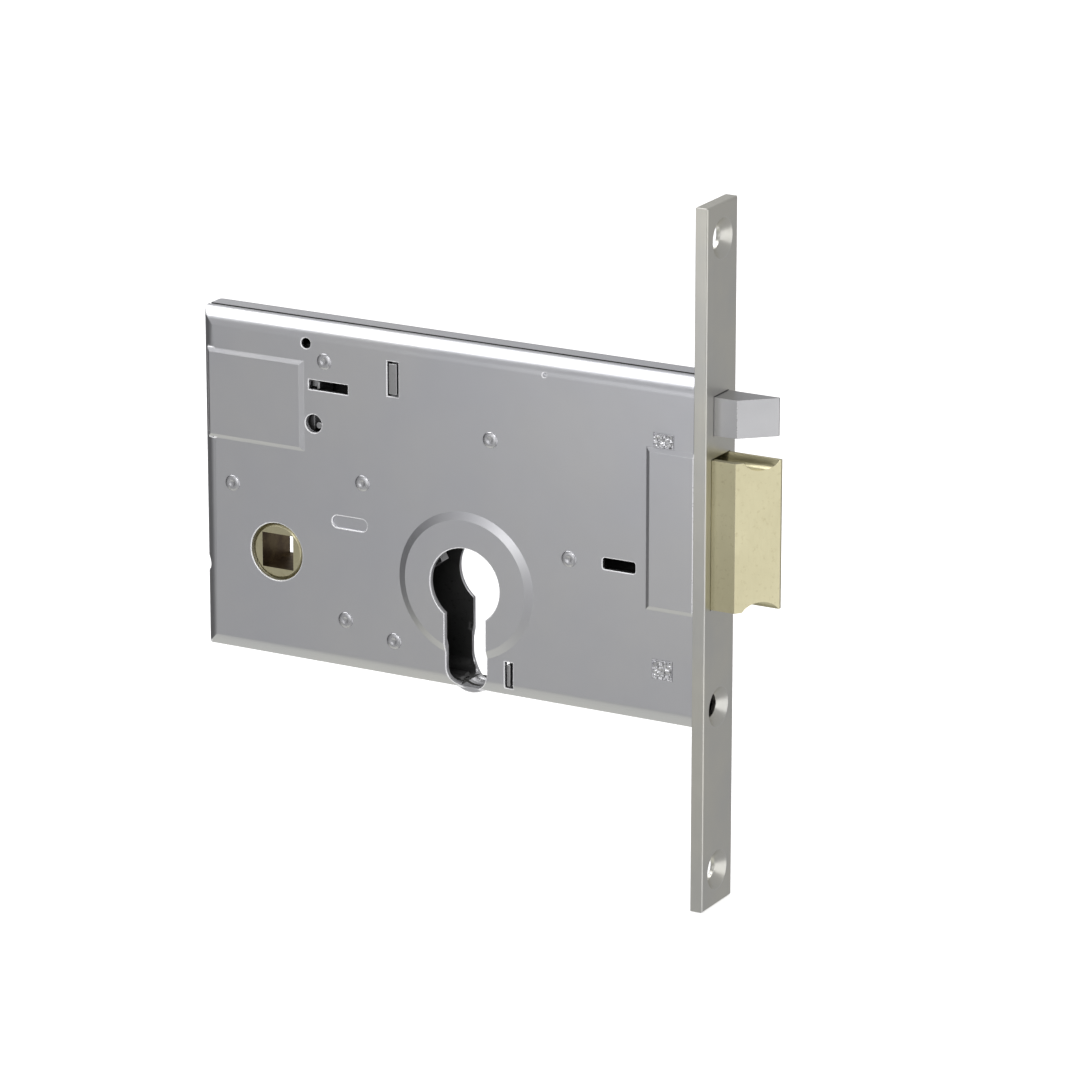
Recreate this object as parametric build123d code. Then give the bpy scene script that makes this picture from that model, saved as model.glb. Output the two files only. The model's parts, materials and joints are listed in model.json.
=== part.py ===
from build123d import *
import math
import os

# Electric mortise lock for narrow metal doors, in millimetres.
# Origin: axis of the profile cylinder, on the middle plane of the case.
# +X points to the forend (the way the bolts are thrown), -Y to the cover, +Z up.

# ---- overall sizes ----
BACKSET = 60.0
CASE_REAR = 69.0
CASE_BOTTOM = 25.0
CASE_HEIGHT = 80.0
CASE_THICKNESS = 13.0
SHEET = 1.2
BEND_RADIUS = 4.0
SEAM_GAP = 1.0
SEAM_OFFSET = 1.5
LIP_SHEET = 0.8
LIP_CLEARANCE = 0.05
LIP_INTO_BEND = 0.5
CUT_OVERRUN = 1.0
EDGE_TOLERANCE = 0.01
HALF = CASE_THICKNESS / 2
CAVITY = HALF - SHEET
SEAM = SEAM_GAP / 2
LIP_DEPTH = HALF - BEND_RADIUS + LIP_INTO_BEND
CASE_TOP = CASE_HEIGHT - CASE_BOTTOM

# ---- forend ----
FOREND_THICKNESS = 3.0
FOREND_WIDTH = 14.0
FOREND_TOP = 93.5
FOREND_BOTTOM = 66.5
FOREND_EDGE = 0.5
FOREND_HOLE_SPACING = 144.0
FOREND_HOLE_END = 7.9
FOREND_HOLE_RADIUS = 2.6
CYLINDER_SCREW_DROP = 20.4
CYLINDER_SCREW_RADIUS = 2.6
SINK_RADIUS = 4.6
SINK_DEPTH = 2.0

# ---- profile cylinder hole ----
PROFILE_RADIUS = 8.8
PROFILE_SLOT = 10.4
PROFILE_DROP = 24.75
PROFILE_WALL = 0.95
DISC_RADIUS = PROFILE_RADIUS + 6.5
DISC_SLOPE = 1.8
DISC_HEIGHT = 0.7

# ---- follower ----
FOLLOWER_X = -49.2
FOLLOWER_Z = 0.5
SPINDLE_SQUARE = 8.1
JOURNAL_WALL = 0.95
JOURNAL_CLEARANCE = 0.06
JOURNAL_RECESS = 0.5
JOURNAL_CHAMFER = 0.8
HUB_SHOULDER = 1.9
FOLLOWER_ARM = 18.5
ARM_HALF_WIDTH = 1.7
NOSE_RADIUS = 1.6
NOSE_NECK = 1.0

# ---- latch ----
LATCH_BOTTOM = 3.1
LATCH_HEIGHT = 33.9
LATCH_THICKNESS = 8.6
LATCH_SHORT_SIDE = 5.8
LATCH_THROW = 12.8
LATCH_LENGTH_INSIDE = 16.0
LATCH_TIP_LAND = 0.6
GROOVE_RADIUS = 3.6
GROOVE_DEPTH = 2.0
GROOVE_OFFSET = 0.3
BOLT_CLEARANCE = 0.15
HEAD_INSERT = 8.0

TAIL_THICKNESS = 3.0
TAIL_BOTTOM = 15.9
TAIL_HEIGHT = 7.5
TAIL_NARROW = 2.4
TAIL_NARROW_START = -36.0
TAIL_LUG = 3.0
TAIL_LUG_DROP = 3.5
LEVER_LUG_DROP = 4.3
DRIVE_GAP = 0.3
TAIL_RIVET_RADIUS = 1.2
TAIL_RIVET_SETBACK = 4.0
TAIL_RIVET_EDGE = 2.0

LATCH_TOP = LATCH_BOTTOM + LATCH_HEIGHT
TAIL_TOP = TAIL_BOTTOM + TAIL_HEIGHT
LATCH_ROD_Z = LATCH_TOP - 7.5
LATCH_ROD_RADIUS = 1.5
LATCH_SPRING_RADIUS = 3.4
SPRING_BORE_GAP = 0.35
ROD_PASS_GAP = 0.3
ROD_OVERHANG = 0.4
ROD_INSERT = 5.0

# ---- trigger ----
TRIGGER_BOTTOM = LATCH_TOP + 5.4
TRIGGER_HEIGHT = 8.6
TRIGGER_THICKNESS = 6.8
TRIGGER_SHORT_SIDE = 5.6
TRIGGER_THROW = 12.5
TRIGGER_LENGTH_INSIDE = 22.0
TRIGGER_TIP_LAND = 0.5
TRIGGER_TOP = TRIGGER_BOTTOM + TRIGGER_HEIGHT
TRIGGER_MID = (TRIGGER_BOTTOM + TRIGGER_TOP) / 2
LOADING_ROD_RADIUS = 1.5
LOADING_SPRING_RADIUS = 3.2
LOADING_SPRING_LENGTH = 27.0
LOADING_ROD_INSERT = 6.0
COLLAR_RADIUS = 3.4
COLLAR_THICKNESS = 1.2
COLLAR_BORE_GAP = 0.05
CROSS_PIN_RADIUS = 0.8
CROSS_PIN_SETBACK = 3.0

# ---- posts riveted between cover and tray, as (x, z) ----
POST_RADIUS = 2.0
TENON_RADIUS = 1.3
RIVET_HEAD_RADIUS = 1.9
RIVET_HEAD_HEIGHT = 0.35
PIVOT_CLEARANCE = 0.06
ARMATURE_POST = (-36.1, 46.8)
RELEASE_POST = (-60.6, 15.1)
GUIDE_POST = (-26.5, TAIL_BOTTOM + 4.0)
STOP_POST = (6.3, LATCH_ROD_Z + 5.1)
SPRING_POST = (-31.2, -12.9)
LEVER_POST = (-18.6, -15.9)
FRONT_POST = (BACKSET - 33.9, 10.2)

# ---- cylinder lever ----
LEVER_ARM = 29.7
LEVER_HALF_WIDTH = 2.4
LEVER_NOSE = 3.0
LEVER_NOSE_START = 14.0
LEVER_NOSE_END = 27.0
LEVER_BOSS_RADIUS = POST_RADIUS + 2.2
LEVER_THICKNESS = 3.0

# ---- front bracket behind the forend ----
BRACKET_THICKNESS = 2.0
BRACKET_BOTTOM = 15.0
BRACKET_SIDE_GAP = 0.05
BRACKET_TOP_GAP = 2.2
STAKE_LENGTH = 5.0
STAKE_SETBACK = 7.6
STAKE_PROUD = 0.2
STAKE_GAP = 0.05
BRACKET_BOLT_GAP = 0.4
UPPER_GUIDE_BOTTOM = LATCH_TOP + BRACKET_BOLT_GAP
UPPER_STAKE = (TRIGGER_BOTTOM - BRACKET_BOLT_GAP - 3.2, TRIGGER_BOTTOM - BRACKET_BOLT_GAP)
LOWER_STAKE = (-14.0, -9.6)
LOWER_GUIDE = (LATCH_BOTTOM - BRACKET_BOLT_GAP - 4.1, LATCH_BOTTOM - BRACKET_BOLT_GAP)

# ---- sheet pieces standing between the plates ----
SCREW_GUIDE_X = 10.8
SCREW_GUIDE_SHEET = 0.8
SCREW_GUIDE_TOP = 12.0
SCREW_GUIDE_TAB = (-21.8, -16.8)
SCREW_GUIDE_FORK = CYLINDER_SCREW_RADIUS + 0.3
GUIDE_SLOT_WIDTH = 2.0
GUIDE_SLOT_MARGIN = 0.55
ANCHOR_X = -18.5
ANCHOR_SHEET = 2.0
ANCHOR_Z = (TRIGGER_MID - 7.7, TRIGGER_MID + 5.9)
ANCHOR_TAB = (TRIGGER_MID - 5.1, TRIGGER_MID + 1.9)
ANCHOR_SLOT_WIDTH = ANCHOR_SHEET + 0.8
ANCHOR_SLOT_MARGIN = 0.5
STOP_BLOCK_LENGTH = 6.4
STOP_BLOCK_Z = (LATCH_ROD_Z - 3.3, LATCH_ROD_Z + 8.5)

# ---- solenoid ----
YOKE_SHEET = 1.5
YOKE_X = (-66.6, -44.6)
YOKE_Z = (24.4, 47.1)
YOKE_REAR_HALF = 4.6
YOKE_FLANGE_HALF = 3.0
LEAD_NOTCH_Y = 2.0
BOBBIN_FLANGE = 1.2
BOBBIN_GAP = 0.1
BOBBIN_WALL = 1.0
WINDING_INSET = 0.3
WINDING_ROUND = 3.0
CORE_HALF_Y = 2.2
CORE_HALF_Z = 3.8
CORE_FACE_X = -43.2
CORE_FIT = 0.02
LEAD_RADIUS = 0.5
LEAD_GAP = 0.1
LEAD_Y = (CAVITY - 2.4, CAVITY - 1.0)

# ---- armature and release lever ----
ARMATURE_GAP = 1.0
ARMATURE_SHEET = 2.0
ARMATURE_HALF_Y = 4.0
ARMATURE_BOTTOM = TAIL_TOP + 0.5
ARMATURE_TOP = 49.6
ARMATURE_BOSS_RADIUS = POST_RADIUS + 1.4
ARMATURE_BOSS_HALF = 2.0
ARMATURE_EAR = (30.0, 32.6)
ARMATURE_STUD_RADIUS = 0.8
STOP_TAB_X = -37.9
STOP_TAB_SHEET = 0.6
STOP_TAB_Z = (40.25, 41.7)
RELEASE_LAYER = (-CAVITY + 0.4, -CAVITY + 2.9)
RELEASE_BOSS_RADIUS = POST_RADIUS + 1.2
RELEASE_HEEL = 1.0
RELEASE_WEB = 2.0

# ---- terminal block ----
TERMINAL_X = (-66.4, -56.4)
TERMINAL_Z = (-22.4, -9.5)
TERMINAL_Y = (-CAVITY + 0.7, CAVITY - 1.3)
TERMINAL_SCREW_RADIUS = 1.7
TERMINAL_SCREW_SPACING = 4.8
TERMINAL_SCREW_DEPTH = 4.0
TERMINAL_SCREW_PROUD = 0.8
TERMINAL_SLOT = 0.6
TERMINAL_WINDOW_MARGIN = 0.4

# ---- raised panels and openings of the cover ----
COIL_PANEL_HEIGHT = 0.6
COIL_PANEL_REAR_SLOPE = 0.8
PANEL_SLOPE = 1.0
COIL_PANEL_X = (-66.8, -41.5)
COIL_PANEL_Z = (25.2, 46.3)
COIL_PANEL_ROOT = 2.0
COIL_PANEL_SIDE_GAP = 0.5
COIL_PANEL_END_GAP = 0.05
LATCH_PANEL_HEIGHT = 0.5
LATCH_PANEL_LENGTH = 11.8
LATCH_PANEL_Z = (LATCH_BOTTOM - 1.5, LATCH_TOP + 1.7)
STROKE_SLOT = (-35.2, 41.0, 10.1, 2.2)
CORE_WINDOW = (-39.1, 32.0, 2.1)
COINED_SLOT = (-30.0, 10.0, 9.0, 2.8)
COINED_DEPTH = 0.5
TAIL_WINDOW = (BACKSET - 21.5, 10.5, 8.1, 2.6)
TAIL_WINDOW_ROUND = 0.6
RELIEF_HOLE = (-40.9, CASE_TOP - 4.6, 1.2)
EDGE_NICK = (19.9, CASE_TOP - 3.7, 0.5)
WIRE_NOTCH_Z = -5.2
WIRE_NOTCH_RADIUS = 1.8

# ---- wire springs, as closed sleeves ----
TORSION_WIRE = 0.9
TORSION_GAP = 0.3
TORSION_LENGTH = 2.4

# ---- derived sizes ----
CASE_FRONT = BACKSET - FOREND_THICKNESS
HEAD_REAR = CASE_FRONT - LATCH_LENGTH_INSIDE + FOREND_THICKNESS
TRIGGER_REAR = BACKSET - TRIGGER_LENGTH_INSIDE
TAIL_HALF = TAIL_THICKNESS / 2
JOURNAL_RADIUS = SPINDLE_SQUARE / math.sqrt(2) + JOURNAL_WALL
HUB_RADIUS = JOURNAL_RADIUS + HUB_SHOULDER
INNER_HALF = CAVITY - BRACKET_SIDE_GAP
BOBBIN_HALF_Y = CAVITY + COIL_PANEL_HEIGHT - COIL_PANEL_SIDE_GAP
BOBBIN_HALF_Z = (COIL_PANEL_Z[1] - COIL_PANEL_Z[0]) / 2 - SHEET - COIL_PANEL_HEIGHT - COIL_PANEL_END_GAP
ARMATURE_X = CORE_FACE_X + ARMATURE_GAP
CORE_Z = (YOKE_Z[0] + YOKE_Z[1]) / 2
FOLLOWER_HALF_SWING = math.asin(LATCH_THROW / 2 / FOLLOWER_ARM)
LEVER_HALF_SWING = math.asin(LATCH_THROW / 2 / LEVER_ARM)


def block(xs, ys, zs):
    """Box between two values on each axis."""
    middle = Pos((xs[0] + xs[1]) / 2, (ys[0] + ys[1]) / 2, (zs[0] + zs[1]) / 2)
    return middle * Box(abs(xs[1] - xs[0]), abs(ys[1] - ys[0]), abs(zs[1] - zs[0]))


def rod_y(x, z, radius, ys):
    """Round bar along Y."""
    return Pos(x, (ys[0] + ys[1]) / 2, z) * Rot(90, 0, 0) * Cylinder(radius, abs(ys[1] - ys[0]))


def rod_x(y, z, radius, xs):
    """Round bar along X."""
    return Pos((xs[0] + xs[1]) / 2, y, z) * Rot(0, 90, 0) * Cylinder(radius, abs(xs[1] - xs[0]))


def plate_y(points, ys):
    """Outline of (x, z) points, extruded along Y."""
    outline = Polyline(*[(x, ys[0], z) for x, z in points], close=True)
    return extrude(make_face(outline), amount=abs(ys[1] - ys[0]), dir=(0, math.copysign(1, ys[1] - ys[0]), 0))


def plate_z(points, zs):
    """Outline of (x, y) points, extruded along Z."""
    outline = Polyline(*[(x, y, zs[0]) for x, y in points], close=True)
    return extrude(make_face(outline), amount=zs[1] - zs[0], dir=(0, 0, 1))


def rectangle_at(xs, zs, y):
    """Flat rectangle across Y."""
    corners = [(xs[0], y, zs[0]), (xs[1], y, zs[0]), (xs[1], y, zs[1]), (xs[0], y, zs[1])]
    return make_face(Polyline(*corners, close=True))


def obround_y(x, z, length, width, ys):
    """Slot with round ends, long along X, running along Y."""
    reach = (length - width) / 2
    middle = block((x - reach, x + reach), ys, (z - width / 2, z + width / 2))
    return middle + rod_y(x - reach, z, width / 2, ys) + rod_y(x + reach, z, width / 2, ys)


def outward(side, near, far):
    """Range of Y at two distances from the middle plane, on side -1 (cover) or +1 (tray)."""
    return (side * near, side * far)


def seam_edge(side):
    """Distance of a shell's open edge from the middle plane; the seam lies nearer to the cover."""
    return SEAM - side * SEAM_OFFSET


def pan(side, inset, radius):
    """Shallow pan shape of one shell: a box with three rolled edges, open to the forend."""
    xs = (-CASE_REAR + inset, CASE_FRONT)
    zs = (-CASE_BOTTOM + inset, CASE_TOP - inset)
    shape = block(xs, outward(side, seam_edge(side), HALF - inset), zs)
    face_y = side * (HALF - inset)
    rolled = [e for e in shape.edges() if abs(e.center().Y - face_y) < EDGE_TOLERANCE
              and e.center().X < CASE_FRONT - EDGE_TOLERANCE]
    return fillet(rolled, radius)


def cavity(gap):
    """Inside of the closed case, less a gap all round; pieces that stand in the case are trimmed to it."""
    xs = (-CASE_REAR + SHEET + LIP_SHEET + gap, CASE_FRONT)
    inner = SHEET + LIP_SHEET
    shape = block(xs, (-CAVITY + gap, CAVITY - gap), (-CASE_BOTTOM + inner, CASE_TOP - inner))
    long_edges = shape.edges().filter_by(Axis.X)
    return fillet(long_edges, BEND_RADIUS - SHEET)


def raised(side, xs, zs, slopes, level, height):
    """Tapered block that stands some height above a level; slopes are rear, front, bottom, top."""
    top_xs = (xs[0] + slopes[0], xs[1] - slopes[1])
    top_zs = (zs[0] + slopes[2], zs[1] - slopes[3])
    base = rectangle_at(xs, zs, side * level)
    return loft([base, rectangle_at(top_xs, top_zs, side * (level + height))])


def latch_panel(side, level, inset):
    """Raised panel beside the latch head, closed by the forend."""
    xs = (CASE_FRONT - LATCH_PANEL_LENGTH + inset, CASE_FRONT)
    zs = (LATCH_PANEL_Z[0] + inset, LATCH_PANEL_Z[1] - inset)
    height = LATCH_PANEL_HEIGHT
    return raised(side, xs, zs, (PANEL_SLOPE, 0, PANEL_SLOPE, PANEL_SLOPE), level, height)


def coil_panel(side, level, inset):
    """Raised panel over the solenoid, running into the rear bend."""
    xs = (COIL_PANEL_X[0] + inset, COIL_PANEL_X[1] - inset)
    zs = (COIL_PANEL_Z[0] + inset, COIL_PANEL_Z[1] - inset)
    height = COIL_PANEL_HEIGHT
    slopes = (COIL_PANEL_REAR_SLOPE, PANEL_SLOPE, PANEL_SLOPE, PANEL_SLOPE)
    root = block(xs, outward(side, level - COIL_PANEL_ROOT, level), zs)
    return root + raised(side, xs, zs, slopes, level, height)


def cylinder_disc(side, level, radius):
    """Raised round disc about the profile cylinder, with a sloped rim."""
    middle = side * (level + DISC_HEIGHT / 2)
    cone = Cone(radius + DISC_SLOPE, radius, DISC_HEIGHT)
    return Pos(0, middle, 0) * Rot(-90 * side, 0, 0) * cone


def profile_hole():
    """Opening for a profile cylinder, through everything."""
    end_z = -PROFILE_DROP + PROFILE_SLOT / 2
    reach = (-CASE_THICKNESS, CASE_THICKNESS)
    slot = block((-PROFILE_SLOT / 2, PROFILE_SLOT / 2), reach, (end_z, 0))
    return rod_y(0, 0, PROFILE_RADIUS, reach) + slot + rod_y(0, end_z, PROFILE_SLOT / 2, reach)


def profile_swell(side):
    """Local swell of the bottom edge that keeps metal under the profile hole."""
    end_z = -PROFILE_DROP + PROFILE_SLOT / 2
    ys = outward(side, seam_edge(side), HALF - BEND_RADIUS / 2)
    ring = rod_y(0, end_z, PROFILE_SLOT / 2 + PROFILE_WALL, ys)
    low = -CASE_BOTTOM - PROFILE_SLOT
    return ring & block((-PROFILE_SLOT, PROFILE_SLOT), ys, (low, -CASE_BOTTOM + SHEET))


def shell_body(side):
    """One half of the case before its own openings are cut."""
    inner_radius = BEND_RADIUS - SHEET
    shape = pan(side, 0, BEND_RADIUS) + latch_panel(side, HALF, 0) + coil_panel(side, HALF, 0)
    shape = shape + cylinder_disc(side, HALF, DISC_RADIUS) + profile_swell(side)
    hollow = pan(side, SHEET, inner_radius)
    mouth_ys = outward(side, seam_edge(side) - CUT_OVERRUN, seam_edge(side) + SEAM)
    mouth_zs = (-CASE_BOTTOM + SHEET, CASE_TOP - SHEET)
    hollow = hollow + block((-CASE_REAR + SHEET, CASE_FRONT), mouth_ys, mouth_zs)
    hollow = hollow + latch_panel(side, CAVITY, SHEET) + coil_panel(side, CAVITY, SHEET)
    return shape - hollow - cylinder_disc(side, CAVITY, DISC_RADIUS - SHEET)


def through(side):
    """Range of Y that runs right through one shell's face."""
    return outward(side, CAVITY - SHEET, HALF + CASE_THICKNESS / 2)


def shared_openings(side):
    """Holes that cover and tray both have: cylinder, follower, rivets, tabs and the wire notch."""
    ys = through(side)
    cuts = [profile_hole(), rod_y(FOLLOWER_X, FOLLOWER_Z, JOURNAL_RADIUS + JOURNAL_CLEARANCE, ys)]
    for x, z in [ARMATURE_POST, RELEASE_POST, GUIDE_POST, STOP_POST, SPRING_POST, LEVER_POST, FRONT_POST]:
        cuts.append(rod_y(x, z, TENON_RADIUS, ys))
    for zs in [UPPER_STAKE, LOWER_STAKE]:
        cuts.append(block(stake_range(STAKE_GAP), ys, (zs[0] - STAKE_GAP, zs[1] + STAKE_GAP)))
    cuts.append(tab_slot(ANCHOR_X, ANCHOR_TAB, ANCHOR_SLOT_WIDTH, ANCHOR_SLOT_MARGIN, ys))
    cuts.append(tab_slot(SCREW_GUIDE_X, SCREW_GUIDE_TAB, GUIDE_SLOT_WIDTH, GUIDE_SLOT_MARGIN, ys))
    cuts.append(rod_y(-CASE_REAR, WIRE_NOTCH_Z, WIRE_NOTCH_RADIUS, (-CASE_THICKNESS, CASE_THICKNESS)))
    return cuts


def stake_range(gap):
    """Range of X of the bracket's staked tabs."""
    front = CASE_FRONT - STAKE_SETBACK + STAKE_LENGTH / 2
    return (front - STAKE_LENGTH - gap, front + gap)


def tab_slot(x, zs, width, margin, ys):
    """Upright slot around the tab of a sheet piece."""
    return block((x - width / 2, x + width / 2), ys, (zs[0] - margin, zs[1] + margin))


def case_cover():
    """Cover shell with its slots, windows and coined slot."""
    shape = shell_body(-1)
    ys = through(-1)
    x, z, length, width = STROKE_SLOT
    cuts = shared_openings(-1)
    cuts.append(block((x - length / 2, x + length / 2), ys, (z - width / 2, z + width / 2)))
    x, z, radius = CORE_WINDOW
    cuts.append(rod_y(x, z, radius, ys))
    x, z, length, width = COINED_SLOT
    cuts.append(obround_y(x, z, length, width, outward(-1, HALF - COINED_DEPTH, HALF + CUT_OVERRUN)))
    x, z, length, width = TAIL_WINDOW
    window = block((x - length / 2, x + length / 2), ys, (z - width / 2, z + width / 2))
    cuts.append(fillet(window.edges().filter_by(Axis.Y), TAIL_WINDOW_ROUND))
    x, z, radius = RELIEF_HOLE
    cuts.append(rod_y(x, z, radius, ys))
    x, z, radius = EDGE_NICK
    cuts.append(rod_y(x, z, radius, outward(-1, HALF - SHEET / 2, HALF + CUT_OVERRUN)))
    return shape - cuts


def case_tray():
    """Tray shell with the inner lip that closes the seam and a window to the terminals."""
    shape = shell_body(1)
    inner = SHEET + LIP_SHEET
    edge = seam_edge(1)
    for inset, ys in [(SHEET, (edge, CAVITY - BEND_RADIUS)), (SHEET + LIP_CLEARANCE, (-LIP_DEPTH, edge))]:
        frame = block((-CASE_REAR + inset, CASE_FRONT), ys, (-CASE_BOTTOM + inset, CASE_TOP - inset))
        frame = frame - block((-CASE_REAR + inner, CASE_FRONT), ys, (-CASE_BOTTOM + inner, CASE_TOP - inner))
        shape = shape + frame
    margin = TERMINAL_WINDOW_MARGIN
    window = block((TERMINAL_X[0] + margin, TERMINAL_X[1] + margin), through(1),
                   (TERMINAL_Z[0] + inner, TERMINAL_Z[1] + margin))
    return shape - shared_openings(1) - window


def sink(z, radius):
    """Countersunk hole through the forend."""
    hole = rod_x(0, z, radius, (CASE_FRONT - CUT_OVERRUN, BACKSET + CUT_OVERRUN))
    cone = Cone(radius, SINK_RADIUS, SINK_DEPTH)
    return hole + Pos(BACKSET - SINK_DEPTH / 2, 0, z) * Rot(0, 90, 0) * cone


def forend():
    """Long face plate with the bolt openings and countersunk screw holes."""
    half = FOREND_WIDTH / 2
    shape = block((CASE_FRONT, BACKSET), (-half, half), (-FOREND_BOTTOM, FOREND_TOP))
    shape = fillet(shape.faces().sort_by(Axis.X)[-1].edges(), FOREND_EDGE)
    top = FOREND_TOP - FOREND_HOLE_END
    shape = shape - sink(top, FOREND_HOLE_RADIUS) - sink(top - FOREND_HOLE_SPACING, FOREND_HOLE_RADIUS)
    shape = shape - sink(-CYLINDER_SCREW_DROP, CYLINDER_SCREW_RADIUS)
    return shape - bolt_openings((CASE_FRONT - CUT_OVERRUN, BACKSET + CUT_OVERRUN), BOLT_CLEARANCE)


def bolt_openings(xs, gap):
    """Rectangular openings for latch head and trigger."""
    latch_half = LATCH_THICKNESS / 2 + gap
    trigger_half = TRIGGER_THICKNESS / 2 + gap
    latch = block(xs, (-latch_half, latch_half), (LATCH_BOTTOM - gap, LATCH_TOP + gap))
    trigger = block(xs, (-trigger_half, trigger_half), (TRIGGER_BOTTOM - gap, TRIGGER_TOP + gap))
    return latch + trigger


def front_bracket():
    """Plate behind the forend with guide blocks, two of them staked through both shells."""
    ys = (-INNER_HALF, INNER_HALF)
    plate_xs = (CASE_FRONT - BRACKET_THICKNESS, CASE_FRONT)
    shape = block(plate_xs, ys, (-BRACKET_BOTTOM, CASE_TOP - BRACKET_TOP_GAP))
    shape = shape & cavity(BRACKET_SIDE_GAP)
    opening_xs = (plate_xs[0] - CUT_OVERRUN, plate_xs[1] + CUT_OVERRUN)
    shape = shape - bolt_openings(opening_xs, 2 * BOLT_CLEARANCE)
    rear = stake_range(0)[0]
    for zs in [(UPPER_GUIDE_BOTTOM, UPPER_STAKE[1]), LOWER_STAKE, LOWER_GUIDE]:
        shape = shape + block((rear, CASE_FRONT), ys, zs)
    proud = HALF + STAKE_PROUD
    for zs in [UPPER_STAKE, LOWER_STAKE]:
        shape = shape + block(stake_range(0), (-proud, proud), zs)
    return shape


def post(x, z):
    """Shouldered post with riveted tenons at both ends."""
    shape = rod_y(x, z, POST_RADIUS, (-CAVITY, CAVITY)) + rod_y(x, z, TENON_RADIUS, (-HALF, HALF))
    for side in (-1, 1):
        head = Cone(RIVET_HEAD_RADIUS, TENON_RADIUS, RIVET_HEAD_HEIGHT)
        shape = shape + Pos(x, side * (HALF + RIVET_HEAD_HEIGHT / 2), z) * Rot(-90 * side, 0, 0) * head
    return shape


def screw_guide():
    """Sheet fork that steers the cylinder screw, standing in slots of both shells."""
    xs = (SCREW_GUIDE_X - SCREW_GUIDE_SHEET / 2, SCREW_GUIDE_X + SCREW_GUIDE_SHEET / 2)
    low = -CASE_BOTTOM + SHEET + LIP_SHEET
    shape = block(xs, (-INNER_HALF, INNER_HALF), (low, -SCREW_GUIDE_TOP)) & cavity(BRACKET_SIDE_GAP)
    shape = shape + block(xs, (-HALF, HALF), SCREW_GUIDE_TAB)
    cut_xs = (xs[0] - CUT_OVERRUN, xs[1] + CUT_OVERRUN)
    fork = rod_x(0, -CYLINDER_SCREW_DROP, SCREW_GUIDE_FORK, cut_xs)
    mouth_zs = (low - CUT_OVERRUN, -CYLINDER_SCREW_DROP)
    mouth = block(cut_xs, (-SCREW_GUIDE_FORK, SCREW_GUIDE_FORK), mouth_zs)
    return shape - fork - mouth


def spring_anchor():
    """Sheet plate that the loading spring pushes on; the loading rod passes through it."""
    xs = (ANCHOR_X - ANCHOR_SHEET / 2, ANCHOR_X + ANCHOR_SHEET / 2)
    shape = block(xs, (-INNER_HALF, INNER_HALF), ANCHOR_Z) & cavity(BRACKET_SIDE_GAP)
    shape = shape + block(xs, (-HALF, HALF), ANCHOR_TAB)
    pass_xs = (xs[0] - CUT_OVERRUN, xs[1] + CUT_OVERRUN)
    return shape - rod_x(0, TRIGGER_MID, LOADING_ROD_RADIUS + ROD_PASS_GAP, pass_xs)


def spring_stop():
    """Block held by the stop post, which the latch spring pushes on."""
    x, z = STOP_POST
    xs = (x - STOP_BLOCK_LENGTH / 2, x + STOP_BLOCK_LENGTH / 2)
    shape = block(xs, (-INNER_HALF, INNER_HALF), STOP_BLOCK_Z) - rod_y(x, z, POST_RADIUS, (-HALF, HALF))
    pass_xs = (xs[0] - CUT_OVERRUN, xs[1] + CUT_OVERRUN)
    return shape - rod_x(0, LATCH_ROD_Z, LATCH_ROD_RADIUS + ROD_PASS_GAP, pass_xs)


def stop_face():
    """X of the spring stop's face towards the latch."""
    return STOP_POST[0] + STOP_BLOCK_LENGTH / 2


def bevelled(rear, short, tip, half, land):
    """Outline of (x, y) points of a bolt bevelled on one side, with a narrow land at its tip."""
    return [(rear, -half), (short, -half), (tip, half - land), (tip, half), (rear, half)]


def latch_head():
    """Bevelled brass latch with a groove along its top and bottom and a slot for the tail."""
    half = LATCH_THICKNESS / 2
    tip = BACKSET + LATCH_THROW
    short = BACKSET + LATCH_SHORT_SIDE
    shape = plate_z(bevelled(HEAD_REAR, short, tip, half, LATCH_TIP_LAND), (LATCH_BOTTOM, LATCH_TOP))
    behind = HEAD_REAR - CUT_OVERRUN
    xs = (behind, tip + CUT_OVERRUN)
    rise = GROOVE_RADIUS - GROOVE_DEPTH
    shape = shape - rod_x(GROOVE_OFFSET, LATCH_TOP + rise, GROOVE_RADIUS, xs)
    shape = shape - rod_x(GROOVE_OFFSET, LATCH_BOTTOM - rise, GROOVE_RADIUS, xs)
    tail_ys = (-TAIL_HALF, TAIL_HALF)
    shape = shape - block((behind, HEAD_REAR + HEAD_INSERT), tail_ys, (TAIL_BOTTOM, TAIL_TOP))
    shape = shape - rod_x(0, LATCH_ROD_Z, LATCH_ROD_RADIUS, (behind, HEAD_REAR + ROD_INSERT))
    for rivet in tail_rivet_bars(half + CUT_OVERRUN):
        shape = shape - rivet
    return shape


def tail_rivet_bars(reach):
    """Two cross bars that tie the tail to the latch head."""
    x = HEAD_REAR + TAIL_RIVET_SETBACK
    heights = [TAIL_BOTTOM + TAIL_RIVET_EDGE, TAIL_TOP - TAIL_RIVET_EDGE]
    return [rod_y(x, z, TAIL_RIVET_RADIUS, (-reach, reach)) for z in heights]


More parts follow.
